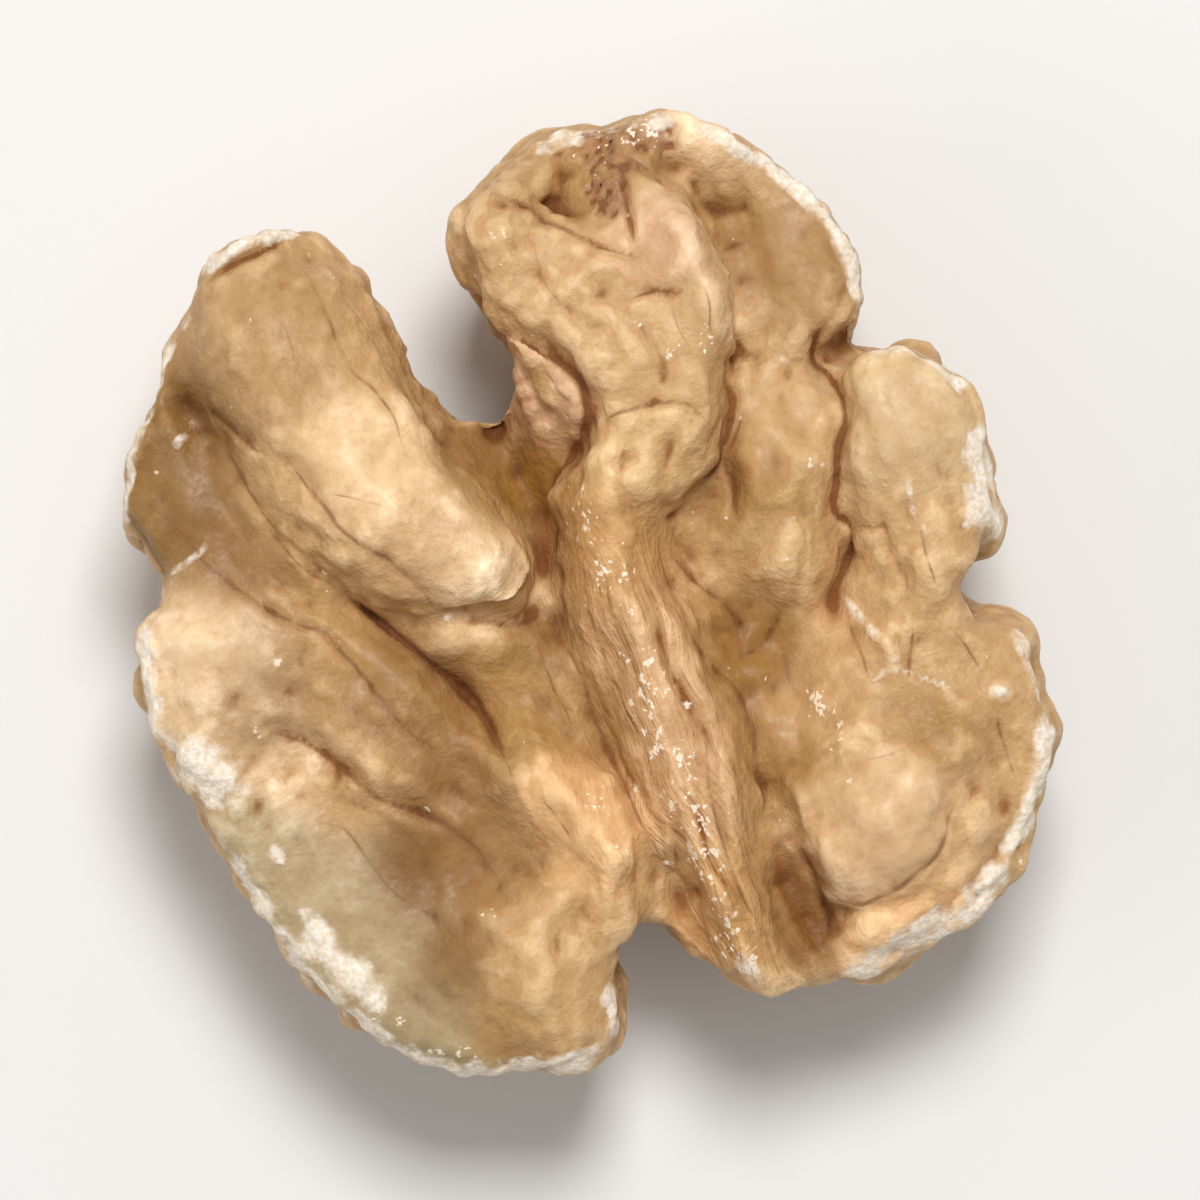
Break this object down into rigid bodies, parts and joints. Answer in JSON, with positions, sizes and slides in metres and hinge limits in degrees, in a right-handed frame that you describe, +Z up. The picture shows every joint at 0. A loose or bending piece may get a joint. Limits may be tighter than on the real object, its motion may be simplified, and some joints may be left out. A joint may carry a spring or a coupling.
{
  "type": "walnut kernel half",
  "caption": "Shelled nut kernel half lying on its lobed round outer side, its cleft folded inner side up, with a fibrous keel down the middle.",
  "frame": {"origin": "on the surface that the kernel lies on, under the middle of its bounding box", "axes": "+Z up out of the inner side; +Y along the seam, from the keel's tip towards the deep cleft; +X to the right as seen from above"},
  "size_m": [0.0304, 0.032, 0.0132],
  "materials": {
    "kernel_skin": "satin"
  },
  "bodies": {
    "root": {"kernel": "kernel_skin"}
  },
  "joints": []
}
